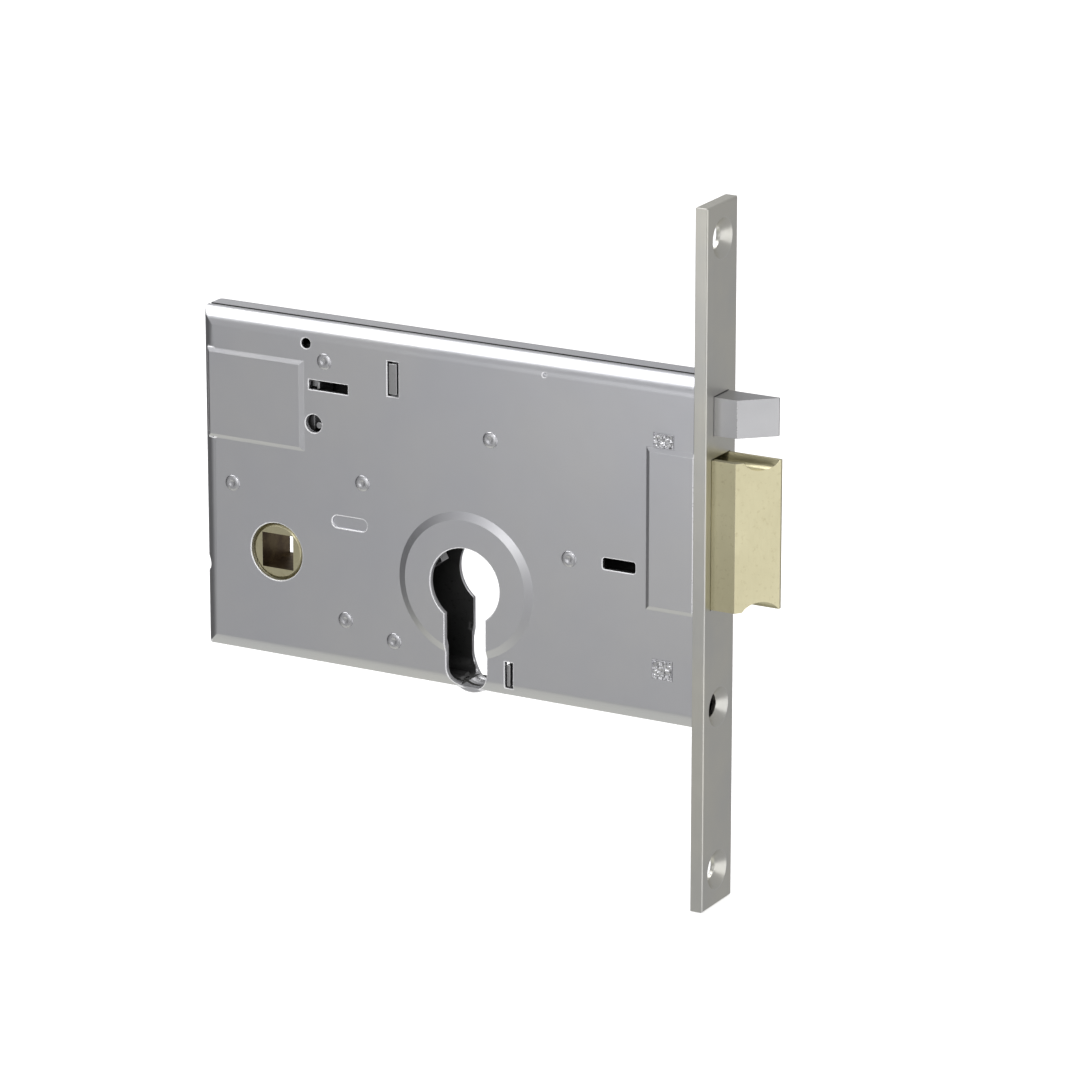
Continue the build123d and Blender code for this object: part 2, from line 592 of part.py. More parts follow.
def latch_tail():
    """Flat pull strip of the latch, guided by a post in its slot, with two drive lugs."""
    ys = (-TAIL_HALF, TAIL_HALF)
    front = HEAD_REAR + HEAD_INSERT
    follower_lug = FOLLOWER_X + LATCH_THROW / 2 - NOSE_RADIUS - DRIVE_GAP
    lever_lug = LEVER_POST[0] + LATCH_THROW / 2 - NOSE_RADIUS - DRIVE_GAP
    shape = block((TAIL_NARROW_START, front), ys, (TAIL_BOTTOM, TAIL_TOP))
    narrow_zs = (TAIL_TOP - TAIL_NARROW, TAIL_TOP)
    shape = shape + block((follower_lug - TAIL_LUG, TAIL_NARROW_START), ys, narrow_zs)
    lug_bottom = TAIL_TOP - TAIL_NARROW - TAIL_LUG_DROP
    shape = shape + block((follower_lug - TAIL_LUG, follower_lug), ys, (lug_bottom, TAIL_TOP))
    shape = shape + block((lever_lug - TAIL_LUG, lever_lug), ys, (TAIL_BOTTOM - LEVER_LUG_DROP, TAIL_TOP))
    width = 2 * (POST_RADIUS + DRIVE_GAP)
    slot_x = GUIDE_POST[0] + LATCH_THROW / 2
    shape = shape - obround_y(slot_x, GUIDE_POST[1], LATCH_THROW + width, width, (-HALF, HALF))
    for rivet in tail_rivet_bars(HALF):
        shape = shape - rivet
    return shape


def tail_rivets():
    """Two rivets through latch head and tail."""
    return tail_rivet_bars(LATCH_THICKNESS / 2)


def latch_rod():
    """Guide rod of the latch spring, pressed into the head."""
    rear = STOP_POST[0] - STOP_BLOCK_LENGTH / 2 - ROD_OVERHANG
    return rod_x(0, LATCH_ROD_Z, LATCH_ROD_RADIUS, (rear, HEAD_REAR + ROD_INSERT))


def sleeve_x(z, outer, inner, xs):
    """Closed tube along X that stands for a coil spring."""
    return rod_x(0, z, outer, xs) - rod_x(0, z, inner, (xs[0] - CUT_OVERRUN, xs[1] + CUT_OVERRUN))


def latch_spring():
    """Stand-in tube of the latch return spring."""
    inner = LATCH_ROD_RADIUS + SPRING_BORE_GAP
    return sleeve_x(LATCH_ROD_Z, LATCH_SPRING_RADIUS, inner, (stop_face(), HEAD_REAR))


def trigger_bolt():
    """Bevelled steel trigger bolt."""
    half = TRIGGER_THICKNESS / 2
    tip = BACKSET + TRIGGER_THROW
    short = BACKSET + TRIGGER_SHORT_SIDE
    outline = bevelled(TRIGGER_REAR, short, tip, half, TRIGGER_TIP_LAND)
    shape = plate_z(outline, (TRIGGER_BOTTOM, TRIGGER_TOP))
    bore_xs = (TRIGGER_REAR - CUT_OVERRUN, TRIGGER_REAR + LOADING_ROD_INSERT)
    return shape - rod_x(0, TRIGGER_MID, LOADING_ROD_RADIUS, bore_xs) - cross_pin()


def cross_pin():
    """Pin that holds the loading rod in the trigger bolt."""
    half = TRIGGER_THICKNESS / 2
    return rod_y(TRIGGER_REAR + CROSS_PIN_SETBACK, TRIGGER_MID, CROSS_PIN_RADIUS, (-half, half))


def loading_rod():
    """Rod that carries the loading spring behind the trigger bolt."""
    rear = ANCHOR_X - ANCHOR_SHEET / 2 - ROD_OVERHANG
    return rod_x(0, TRIGGER_MID, LOADING_ROD_RADIUS, (rear, TRIGGER_REAR + LOADING_ROD_INSERT)) - cross_pin()


def collar_rear():
    """X of the collar's face towards the loading spring."""
    return ANCHOR_X + ANCHOR_SHEET / 2 + LOADING_SPRING_LENGTH


def spring_collar():
    """Collar on the loading rod that compresses the loading spring."""
    xs = (collar_rear(), collar_rear() + COLLAR_THICKNESS)
    return sleeve_x(TRIGGER_MID, COLLAR_RADIUS, LOADING_ROD_RADIUS + COLLAR_BORE_GAP, xs)


def loading_spring():
    """Stand-in tube of the loading spring."""
    xs = (ANCHOR_X + ANCHOR_SHEET / 2, collar_rear())
    return sleeve_x(TRIGGER_MID, LOADING_SPRING_RADIUS, LOADING_ROD_RADIUS + SPRING_BORE_GAP, xs)


def on_arm(pivot, swing, distance, offset):
    """Point (x, z) at a distance along an arm and an offset to its forend side."""
    along = (math.sin(swing), math.cos(swing))
    x = pivot[0] + along[0] * distance + along[1] * offset
    z = pivot[1] + along[1] * distance - along[0] * offset
    return (x, z)


def tapered_arm(pivot, swing, length, half_width, ys):
    """Arm from a pivot to a round nose, narrowing to a neck behind the nose."""
    ends = [(0, -half_width), (0, half_width), (length, NOSE_NECK), (length, -NOSE_NECK)]
    nose = on_arm(pivot, swing, length, 0)
    bar = plate_y([on_arm(pivot, swing, *end) for end in ends], ys)
    return bar + rod_y(nose[0], nose[1], NOSE_RADIUS, ys)


def follower():
    """Brass follower: square hole, journals in both shells and an arm that pulls the latch tail."""
    pivot = (FOLLOWER_X, FOLLOWER_Z)
    ys = (-HALF + JOURNAL_RECESS, HALF - JOURNAL_RECESS)
    journal = rod_y(pivot[0], pivot[1], JOURNAL_RADIUS, ys)
    rims = [e for e in journal.edges() if abs(abs(e.center().Y) - ys[1]) < EDGE_TOLERANCE]
    journal = chamfer(rims, JOURNAL_CHAMFER)
    hub = rod_y(pivot[0], pivot[1], HUB_RADIUS, (-INNER_HALF, INNER_HALF))
    arm_ys = (-TAIL_HALF, TAIL_HALF)
    arm = tapered_arm(pivot, FOLLOWER_HALF_SWING, FOLLOWER_ARM, ARM_HALF_WIDTH, arm_ys)
    half = SPINDLE_SQUARE / 2
    square = block((pivot[0] - half, pivot[0] + half), (-HALF, HALF), (pivot[1] - half, pivot[1] + half))
    return journal + hub + arm - square


def cylinder_lever():
    """Lever that the cylinder's cam pushes back to pull the latch."""
    ys = (-LEVER_THICKNESS / 2, LEVER_THICKNESS / 2)
    shape = tapered_arm(LEVER_POST, LEVER_HALF_SWING, LEVER_ARM, LEVER_HALF_WIDTH, ys)
    middle = (LEVER_NOSE_START + LEVER_NOSE_END) / 2
    corners = [(LEVER_NOSE_START, 0), (middle, LEVER_HALF_WIDTH + LEVER_NOSE), (LEVER_NOSE_END, 0)]
    shape = shape + plate_y([on_arm(LEVER_POST, LEVER_HALF_SWING, *corner) for corner in corners], ys)
    shape = shape + rod_y(LEVER_POST[0], LEVER_POST[1], LEVER_BOSS_RADIUS, ys)
    return shape - rod_y(LEVER_POST[0], LEVER_POST[1], POST_RADIUS + PIVOT_CLEARANCE, (-HALF, HALF))


def coil_yoke():
    """Bent steel frame of the solenoid, which leaves room for the leads in its flange and rear."""
    rear_xs = (YOKE_X[0], YOKE_X[0] + YOKE_SHEET)
    flange_ys = (-YOKE_FLANGE_HALF, YOKE_FLANGE_HALF)
    shape = block(rear_xs, (-YOKE_REAR_HALF, YOKE_REAR_HALF), YOKE_Z)
    shape = shape + block(YOKE_X, flange_ys, (YOKE_Z[1] - YOKE_SHEET, YOKE_Z[1]))
    shape = shape + block(YOKE_X, (-YOKE_FLANGE_HALF, LEAD_NOTCH_Y), (YOKE_Z[0], YOKE_Z[0] + YOKE_SHEET))
    return shape - core_bar((YOKE_X[0] - CUT_OVERRUN, YOKE_X[0] + YOKE_SHEET), 0) - lead_runs(LEAD_GAP)


def core_bar(xs, gap):
    """Rectangular bar on the solenoid's axis."""
    half_y = CORE_HALF_Y + gap
    half_z = CORE_HALF_Z + gap
    return block(xs, (-half_y, half_y), (CORE_Z - half_z, CORE_Z + half_z))


def coil_core():
    """Iron core, riveted in the yoke."""
    return core_bar((YOKE_X[0], CORE_FACE_X), 0)


def bobbin_range():
    """X between the outer faces of the bobbin's flanges."""
    return (YOKE_X[0] + YOKE_SHEET + BOBBIN_GAP, YOKE_X[1])


def coil_bobbin():
    """Plastic bobbin: a tube round the core with a flange at each end."""
    xs = bobbin_range()
    zs = (CORE_Z - BOBBIN_HALF_Z, CORE_Z + BOBBIN_HALF_Z)
    shape = core_bar(xs, CORE_FIT + BOBBIN_WALL)
    for x in (xs[0], xs[1] - BOBBIN_FLANGE):
        shape = shape + block((x, x + BOBBIN_FLANGE), (-BOBBIN_HALF_Y, BOBBIN_HALF_Y), zs)
    return shape - core_bar((xs[0] - CUT_OVERRUN, xs[1] + CUT_OVERRUN), CORE_FIT)


def coil_winding():
    """Copper winding between the bobbin's flanges."""
    xs = (bobbin_range()[0] + BOBBIN_FLANGE, bobbin_range()[1] - BOBBIN_FLANGE)
    half_y = BOBBIN_HALF_Y - WINDING_INSET
    half_z = BOBBIN_HALF_Z - WINDING_INSET
    shape = block(xs, (-half_y, half_y), (CORE_Z - half_z, CORE_Z + half_z))
    shape = fillet(shape.edges().filter_by(Axis.X), WINDING_ROUND)
    return shape - core_bar((xs[0] - CUT_OVERRUN, xs[1] + CUT_OVERRUN), CORE_FIT + BOBBIN_WALL)


def lead_runs(gap):
    """The straight runs of both leads, grown all round by a gap."""
    x = RELEASE_POST[0] - POST_RADIUS - TORSION_GAP - TORSION_WIRE - LEAD_RADIUS - LEAD_GAP
    top = CORE_Z - BOBBIN_HALF_Z
    middle = (top + TERMINAL_Z[1]) / 2
    return [Pos(x, y, middle) * Cylinder(LEAD_RADIUS + gap, top - TERMINAL_Z[1]) for y in LEAD_Y]


def coil_leads():
    """Two insulated leads from the bobbin down to the terminal block."""
    return lead_runs(0)


def armature():
    """Clapper of the solenoid, hung on its post, with a stop tab in the cover's stroke slot."""
    xs = (ARMATURE_X, ARMATURE_X + ARMATURE_SHEET)
    shape = block(xs, (-ARMATURE_HALF_Y, ARMATURE_HALF_Y), (ARMATURE_BOTTOM, ARMATURE_TOP))
    boss_ys = (-ARMATURE_BOSS_HALF, ARMATURE_BOSS_HALF)
    x, z = ARMATURE_POST
    shape = shape + block((ARMATURE_X, x), boss_ys, (z - ARMATURE_SHEET, ARMATURE_TOP))
    shape = shape + rod_y(x, z, ARMATURE_BOSS_RADIUS, boss_ys)
    tab_front = STOP_TAB_X + STOP_TAB_SHEET / 2
    tab_root = -CAVITY + DRIVE_GAP
    shape = shape + block((xs[1], tab_front), (tab_root, -ARMATURE_HALF_Y + SHEET), STOP_TAB_Z)
    shape = shape + block((tab_front - STOP_TAB_SHEET, tab_front), (-HALF + DRIVE_GAP, tab_root), STOP_TAB_Z)
    shape = shape + block((xs[1], CORE_WINDOW[0] + SHEET + ARMATURE_STUD_RADIUS), boss_ys, ARMATURE_EAR)
    shape = shape - stud_bar()
    return shape - rod_y(x, z, POST_RADIUS + PIVOT_CLEARANCE, (-HALF, HALF))


def stud_bar():
    """Round bar of the armature's spring stud."""
    z = (ARMATURE_EAR[0] + ARMATURE_EAR[1]) / 2
    ys = (-CAVITY + DRIVE_GAP, ARMATURE_BOSS_HALF)
    return rod_y(CORE_WINDOW[0] + SHEET / 2, z, ARMATURE_STUD_RADIUS, ys)


def release_lever():
    """Catch lever under the solenoid, moved by the armature."""
    x, z = RELEASE_POST
    tip = ARMATURE_X + 2 * ARMATURE_SHEET
    heel = ARMATURE_X - RELEASE_HEEL
    top = ARMATURE_BOTTOM - 2 * DRIVE_GAP
    web = RELEASE_WEB
    lower = [(x, z - web), (heel, z + web / 2), (tip, z + web)]
    upper = [(tip, top), (heel, top), (heel - web / 2, z + 2 * web), (x, z + web)]
    outline = lower + upper
    shape = plate_y(outline, RELEASE_LAYER) + rod_y(x, z, RELEASE_BOSS_RADIUS, RELEASE_LAYER)
    return shape - rod_y(x, z, POST_RADIUS + PIVOT_CLEARANCE, (-HALF, HALF))


def torsion_sleeve(centre, ys):
    """Stand-in ring of a wire torsion spring about a post."""
    inner = POST_RADIUS + TORSION_GAP
    ring = rod_y(centre[0], centre[1], inner + TORSION_WIRE, ys)
    return ring - rod_y(centre[0], centre[1], inner, (-HALF, HALF))


def terminal_block():
    """Plastic terminal block with two screw wells facing the tray's window."""
    return block(TERMINAL_X, TERMINAL_Y, TERMINAL_Z) - terminal_bars(TERMINAL_SCREW_RADIUS)


def terminal_bars(radius):
    """Two round bars at the terminal screws."""
    middle = (TERMINAL_X[0] + TERMINAL_X[1]) / 2
    z = (TERMINAL_Z[0] + TERMINAL_Z[1]) / 2
    ys = (TERMINAL_Y[1] - TERMINAL_SCREW_DEPTH, TERMINAL_Y[1] + TERMINAL_SCREW_PROUD)
    offsets = (-TERMINAL_SCREW_SPACING / 2, TERMINAL_SCREW_SPACING / 2)
    return [rod_y(middle + offset, z, radius, ys) for offset in offsets]


def terminal_screws():
    """Two slotted brass terminal screws."""
    top = TERMINAL_Y[1] + TERMINAL_SCREW_PROUD
    half = TERMINAL_SLOT / 2
    z = (TERMINAL_Z[0] + TERMINAL_Z[1]) / 2
    slot = block(TERMINAL_X, (top - TERMINAL_SLOT, top + CUT_OVERRUN), (z - half, z + half))
    return [bar - slot for bar in terminal_bars(TERMINAL_SCREW_RADIUS)]


def save(name, shape):
    """Write one node; a list of separate solids becomes a group."""
    solids = list(shape) if isinstance(shape, list) else list(shape.solids())
    piece = Compound(children=solids) if len(solids) > 1 else solids[0]
    export_step(piece, f"parts/{name}.step")


SPRING_YS = (ARMATURE_BOSS_HALF + TORSION_GAP, ARMATURE_BOSS_HALF + TORSION_GAP + TORSION_LENGTH)

NODES = {
    "case_tray": case_tray,
    "case_cover": case_cover,
    "forend": forend,
    "front_bracket": front_bracket,
    "armature_post": lambda: post(*ARMATURE_POST),
    "release_post": lambda: post(*RELEASE_POST),
    "tail_guide_post": lambda: post(*GUIDE_POST),
    "spring_stop_post": lambda: post(*STOP_POST),
    "follower_spring_post": lambda: post(*SPRING_POST),
    "lever_post": lambda: post(*LEVER_POST),
    "front_spacer_post": lambda: post(*FRONT_POST),
    "cylinder_screw_guide": screw_guide,
    "loading_spring_anchor": spring_anchor,
    "latch_spring_stop": spring_stop,
    "coil_yoke": coil_yoke,
    "coil_core": coil_core,
    "coil_bobbin": coil_bobbin,
    "coil_winding": coil_winding,
    "coil_leads": coil_leads,
    "terminal_block": terminal_block,
    "terminal_screws": terminal_screws,
    "latch_head": latch_head,
    "latch_tail": latch_tail,
    "tail_rivets": tail_rivets,
    "latch_spring_rod": latch_rod,
    "latch_spring": latch_spring,
    "trigger_bolt": trigger_bolt,
    "loading_rod": loading_rod,
    "rod_cross_pin": cross_pin,
    "loading_spring_collar": spring_collar,
    "loading_spring": loading_spring,
    "follower": follower,
    "follower_spring": lambda: torsion_sleeve(SPRING_POST, (-TORSION_LENGTH, TORSION_LENGTH)),
    "cylinder_lever": cylinder_lever,
    "lever_spring": lambda: torsion_sleeve(LEVER_POST, SPRING_YS),
    "armature": armature,
    "armature_stud": stud_bar,
    "armature_spring": lambda: torsion_sleeve(ARMATURE_POST, SPRING_YS),
    "release_lever": release_lever,
    "release_spring": lambda: torsion_sleeve(RELEASE_POST, SPRING_YS),
}

os.makedirs("parts", exist_ok=True)
for node_name, make in NODES.items():
    save(node_name, make())

print("follower degrees per millimetre of latch:", math.degrees(2 * FOLLOWER_HALF_SWING) / LATCH_THROW)
print("lever degrees per millimetre of latch:", math.degrees(2 * LEVER_HALF_SWING) / LATCH_THROW)
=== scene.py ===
import json
import math

import bmesh
import bpy
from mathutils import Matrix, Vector, noise


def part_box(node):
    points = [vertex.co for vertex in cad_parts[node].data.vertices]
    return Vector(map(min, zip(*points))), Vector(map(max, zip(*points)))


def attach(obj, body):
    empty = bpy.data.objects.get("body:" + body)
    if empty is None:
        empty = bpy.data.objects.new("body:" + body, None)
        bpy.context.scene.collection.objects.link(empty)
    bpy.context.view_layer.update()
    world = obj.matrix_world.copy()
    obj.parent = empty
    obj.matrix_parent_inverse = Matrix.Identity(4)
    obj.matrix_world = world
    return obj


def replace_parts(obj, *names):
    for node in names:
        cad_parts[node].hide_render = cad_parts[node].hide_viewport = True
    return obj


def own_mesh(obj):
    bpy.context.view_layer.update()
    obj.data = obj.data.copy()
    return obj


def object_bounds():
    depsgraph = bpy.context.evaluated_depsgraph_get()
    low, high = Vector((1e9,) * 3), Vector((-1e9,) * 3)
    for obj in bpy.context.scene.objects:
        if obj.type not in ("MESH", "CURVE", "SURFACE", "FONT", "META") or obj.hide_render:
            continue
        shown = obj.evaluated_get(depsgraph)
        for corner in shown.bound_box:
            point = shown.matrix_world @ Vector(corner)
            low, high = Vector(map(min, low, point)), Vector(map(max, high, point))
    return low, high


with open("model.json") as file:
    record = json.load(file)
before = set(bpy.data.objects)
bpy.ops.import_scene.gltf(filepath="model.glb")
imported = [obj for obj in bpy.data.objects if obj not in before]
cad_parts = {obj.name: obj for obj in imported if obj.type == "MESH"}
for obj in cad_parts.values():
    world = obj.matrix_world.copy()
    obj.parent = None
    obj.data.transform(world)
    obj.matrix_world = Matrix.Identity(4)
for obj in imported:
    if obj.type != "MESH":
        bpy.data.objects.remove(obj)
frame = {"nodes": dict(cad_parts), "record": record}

# A mortise lock in metres: +X towards the forend, -Y towards the cover, +Z up.
# Rigid pieces are the CAD meshes with their sharp edges rounded and their faces finished; turned posts,
# springs, winding and leads are modelled here, at the places that the frame gives.

MM = 0.001
CAD_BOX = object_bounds()
BODY_OF = {}
for body_name, members in frame["record"]["behaviour"]["bodies"].items():
    for member in members:
        BODY_OF[member] = body_name
SLOT_OF = {name: node.data.materials[0].name for name, node in frame["nodes"].items()}
SHEET = 1.2 * MM


def centre(node):
    """Middle of a CAD node's box."""
    low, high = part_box(node)
    return (low + high) / 2


# ---- materials ----

class Tree:
    """A material's node tree with short ways to add and join nodes."""

    def __init__(self, name):
        self.material = bpy.data.materials.new(name)
        self.material.use_nodes = True
        self.nodes = self.material.node_tree.nodes
        self.links = self.material.node_tree.links
        self.shader = self.nodes["Principled BSDF"]
        self.place = self.nodes.new("ShaderNodeTexCoord").outputs["Object"]

    def stretched(self, per_mm):
        """Object coordinates scaled on each axis, in cycles per millimetre."""
        mapping = self.nodes.new("ShaderNodeMapping")
        mapping.inputs["Scale"].default_value = [cycles / MM for cycles in per_mm]
        self.links.new(self.place, mapping.inputs["Vector"])
        return mapping.outputs["Vector"]

    def noise(self, per_mm, detail=3.0, roughness=0.55):
        """Noise texture with its cycles per millimetre on each axis."""
        node = self.nodes.new("ShaderNodeTexNoise")
        node.inputs["Scale"].default_value = 1.0
        node.inputs["Detail"].default_value = detail
        node.inputs["Roughness"].default_value = roughness
        self.links.new(self.stretched(per_mm), node.inputs["Vector"])
        return node.outputs["Fac"]

    def remap(self, value, low, high, to_low, to_high):
        """Value moved from one range to another."""
        node = self.nodes.new("ShaderNodeMapRange")
        node.inputs["From Min"].default_value = low
        node.inputs["From Max"].default_value = high
        node.inputs["To Min"].default_value = to_low
        node.inputs["To Max"].default_value = to_high
        self.links.new(value, node.inputs["Value"])
        return node.outputs["Result"]

    def mix(self, factor, first, second):
        """Colour between two colours or sockets."""
        node = self.nodes.new("ShaderNodeMix")
        node.data_type = "RGBA"
        self.links.new(factor, node.inputs[0])
        for socket, value in ((node.inputs[6], first), (node.inputs[7], second)):
            if isinstance(value, tuple):
                socket.default_value = (*value, 1.0)
            else:
                self.links.new(value, socket)
        return node.outputs[2]

    def bump(self, height, depth, under=None):
        """Bump of a depth in millimetres, on top of another bump if one is given."""
        node = self.nodes.new("ShaderNodeBump")
        node.inputs["Distance"].default_value = depth * MM
        self.links.new(height, node.inputs["Height"])
        if under is not None:
            self.links.new(under, node.inputs["Normal"])
        return node.outputs["Normal"]

    def use(self, socket, value):
        """Give the shader a linked texture or one plain value."""
        if isinstance(value, bpy.types.NodeSocket):
            self.links.new(value, self.shader.inputs[socket])
        else:
            self.shader.inputs[socket].default_value = value


def even(cycles):
    """The same cycles on all three axes."""
    return (cycles, cycles, cycles)


def metal(name, colour, tint, rough, spread=0.05, patch=0.05, grain=even(3.0), depth=0.004, stain=None,
          metallic=1.0):
    """Metal with slow patches of a second tint, fine grain, uneven gloss and, if asked, stained specks."""
    tree = Tree(name)
    tree.use("Metallic", metallic)
    patches = tree.remap(tree.noise(even(patch)), 0.38, 0.62, 0.0, 1.0)
    fine = tree.noise(grain, 4.0)
    shade = tree.mix(patches, colour, tint)
    if stain is not None:
        specks = tree.remap(tree.noise(even(0.9), 6.0, 0.7), 0.56, 0.68, 0.0, 0.6)
        shade = tree.mix(specks, shade, stain)
    tree.use("Base Color", shade)
    tree.use("Roughness", tree.remap(fine, 0.3, 0.7, rough - spread, rough + spread))
    slow = tree.bump(tree.noise(even(0.11), 1.0), 0.05)
    tree.use("Normal", tree.bump(fine, depth, slow))
    return tree.material


def dielectric(name, colour, tint, rough, depth=0.01, cycles=4.0):
    """Moulded or lacquered surface with slight mottling."""
    tree = Tree(name)
    mottle = tree.noise(even(cycles), 3.0)
    tree.use("Base Color", tree.mix(tree.remap(mottle, 0.35, 0.65, 0.0, 1.0), colour, tint))
    tree.use("Roughness", tree.remap(mottle, 0.3, 0.7, rough - 0.06, rough + 0.06))
    tree.use("Normal", tree.bump(mottle, depth))
    return tree.material


# Each rim material is a lighter copy of its metal or moulding: a painted highlight for the rounded edges.
ZINC = metal("zinc_plate", (0.74, 0.745, 0.785), (0.77, 0.77, 0.79), 0.36, patch=0.03)
ZINC_RIM_HIGHLIGHT = metal("zinc_rim_highlight", (0.93, 0.93, 0.95), (0.86, 0.86, 0.88), 0.30, metallic=0.45)
# Dark zinc with stained specks: painted shade for the inner faces of the shells.
ZINC_PAINTED_SHADE = metal("zinc_inside_painted_shade", (0.20, 0.20, 0.20), (0.14, 0.14, 0.14), 0.55, stain=(0.06, 0.055, 0.05))
FACE_STEEL = metal("forend_plate", (0.80, 0.785, 0.72), (0.75, 0.745, 0.71), 0.34, grain=(3.0, 6.0, 0.25))
FACE_RIM_HIGHLIGHT = metal("forend_rim_highlight", (0.84, 0.83, 0.79), (0.78, 0.78, 0.76), 0.32)
BRASS = metal("brass", (0.75, 0.70, 0.47), (0.70, 0.65, 0.43), 0.33, grain=(4.0, 4.0, 0.5),
              stain=(0.56, 0.50, 0.30))
BRASS_RIM_HIGHLIGHT = metal("brass_rim_highlight", (0.92, 0.87, 0.66), (0.84, 0.78, 0.56), 0.24)
# Dark brass with stained specks: painted shade for the follower's sides in the gap and for its square hole.
BRASS_PAINTED_SHADE = metal("brass_painted_shade", (0.24, 0.18, 0.10), (0.15, 0.105, 0.065), 0.42, patch=0.3,
                   stain=(0.07, 0.05, 0.035))
BOLT = metal("bolt_steel", (0.62, 0.62, 0.635), (0.57, 0.57, 0.585), 0.36, grain=(0.4, 5.0, 5.0))
BOLT_RIM_HIGHLIGHT = metal("bolt_rim_highlight", (0.88, 0.88, 0.89), (0.80, 0.80, 0.81), 0.28)
STEEL = metal("plain_steel", (0.52, 0.52, 0.53), (0.45, 0.45, 0.46), 0.40, stain=(0.25, 0.24, 0.23))
STEEL_RIM_HIGHLIGHT = metal("plain_steel_rim_highlight", (0.72, 0.72, 0.73), (0.64, 0.64, 0.65), 0.30)
RIVET = metal("rivet_end", (0.78, 0.78, 0.81), (0.66, 0.66, 0.69), 0.28, patch=0.8, depth=0.02)
WIRE = metal("spring_wire", (0.50, 0.49, 0.48), (0.38, 0.38, 0.38), 0.30, grain=even(8.0))
COPPER = metal("enamelled_copper", (0.60, 0.24, 0.10), (0.48, 0.17, 0.07), 0.28, grain=even(6.0))
MOULDING = dielectric("black_moulding", (0.030, 0.030, 0.032), (0.045, 0.045, 0.047), 0.45)
MOULDING_RIM_HIGHLIGHT = dielectric("moulding_rim_highlight", (0.06, 0.06, 0.062), (0.045, 0.045, 0.047), 0.38)
BOBBIN = dielectric("bobbin_nylon", (0.62, 0.58, 0.48), (0.56, 0.52, 0.42), 0.42)
BOBBIN_RIM_HIGHLIGHT = dielectric("bobbin_rim_highlight", (0.70, 0.66, 0.56), (0.60, 0.56, 0.46), 0.38)
LEAD_RED = dielectric("lead_red", (0.45, 0.03, 0.02), (0.38, 0.025, 0.02), 0.38)
LEAD_BLACK = dielectric("lead_black", (0.02, 0.02, 0.02), (0.03, 0.03, 0.03), 0.38)

# Each slot gets its surface and, second, the lighter copy that paints a highlight on the rounded edges.
LOOKS = {
    "case_sheet": (ZINC, ZINC_RIM_HIGHLIGHT),
    "forend_steel": (FACE_STEEL, FACE_RIM_HIGHLIGHT),
    "bolt_steel": (BOLT, BOLT_RIM_HIGHLIGHT),
    "brass": (BRASS, BRASS_RIM_HIGHLIGHT),
    "plain_steel": (STEEL, STEEL_RIM_HIGHLIGHT),
    "moulding": (MOULDING, MOULDING_RIM_HIGHLIGHT),
}


# ---- shared mesh work ----

def new_piece(name, mesh, node, body=None):
    """Object for a mesh, riding on the CAD node's body."""
    piece = bpy.data.objects.new(name, mesh)
    bpy.context.scene.collection.objects.link(piece)
    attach(piece, body or BODY_OF[node])
    return piece


def apply_modifiers(piece):
    """Replace the mesh with what its modifiers make of it."""
    graph = bpy.context.evaluated_depsgraph_get()
    mesh = bpy.data.meshes.new_from_object(piece.evaluated_get(graph))
    piece.modifiers.clear()
    piece.data = mesh


def even_normals(piece, keep_sharp=False):
    """Keep the large faces flat under smooth shading, so that only the roundings between them turn."""
    weighted = piece.modifiers.new("normals", "WEIGHTED_NORMAL")
    weighted.weight = 50
    weighted.keep_sharp = keep_sharp
    apply_modifiers(piece)


def round_edges(piece, width, segments, angle):
    """Round the sharp edges; the rounding gets the second material, a lighter copy that paints a highlight,
    and the flat faces keep their normals.
    """
    bevel = piece.modifiers.new("edges", "BEVEL")
    bevel.width = width * MM
    bevel.segments = segments
    bevel.limit_method = "ANGLE"
    bevel.angle_limit = math.radians(angle)
    bevel.material = 1
    even_normals(piece)


MERGE = 0.002 * MM
FLAT_ANGLE = math.radians(0.5)


def finished(node, width=0.12, segments=2, angle=28, looks=None, rounding=round_edges):
    """Copy of a CAD node with clean faces and rounded edges, which stands for the node."""
    mesh = frame["nodes"][node].data.copy()
    shape = bmesh.new()
    shape.from_mesh(mesh)
    bmesh.ops.remove_doubles(shape, verts=shape.verts, dist=MERGE)
    bmesh.ops.dissolve_limit(shape, angle_limit=FLAT_ANGLE, verts=shape.verts, edges=shape.edges)
    shape.to_mesh(mesh)
    shape.free()
    mesh.materials.clear()
    for material in looks or LOOKS[SLOT_OF[node]]:
        mesh.materials.append(material)
    mesh.polygons.foreach_set("material_index", [0] * len(mesh.polygons))
    mesh.polygons.foreach_set("use_smooth", [True] * len(mesh.polygons))
    piece = new_piece(node + "_finished", mesh, node)
    rounding(piece, width, segments, angle)
    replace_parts(piece, node)
    return piece


def paint(piece, material, chosen):
    """Give a material to the faces that a test chooses."""
    piece.data.materials.append(material)
    index = len(piece.data.materials) - 1
    for face in piece.data.polygons:
        if chosen(face):
            face.material_index = index


def grid_mesh(name, rows, material):
    """Closed mesh from rings of points, capped at both ends; u runs round a ring and v from ring to ring."""
    mesh = bpy.data.meshes.new(name)
    count = len(rows[0])
    verts = [point for row in rows for point in row]
    faces = []
    for v in range(len(rows) - 1):
        for u in range(count):
            after = (v + 1) * count
            faces.append((v * count + u, v * count + (u + 1) % count, after + (u + 1) % count, after + u))
    faces.append(tuple(reversed(range(count))))
    faces.append(tuple(range((len(rows) - 1) * count, len(rows) * count)))
    mesh.from_pydata(verts, [], faces)
    mesh.materials.append(material)
    mesh.polygons.foreach_set("use_smooth", [len(face) == 4 for face in faces])
    mesh.update()
    shape = bmesh.new()
    shape.from_mesh(mesh)
    bmesh.ops.recalc_face_normals(shape, faces=shape.faces)
    shape.to_mesh(mesh)
    shape.free()
    return mesh


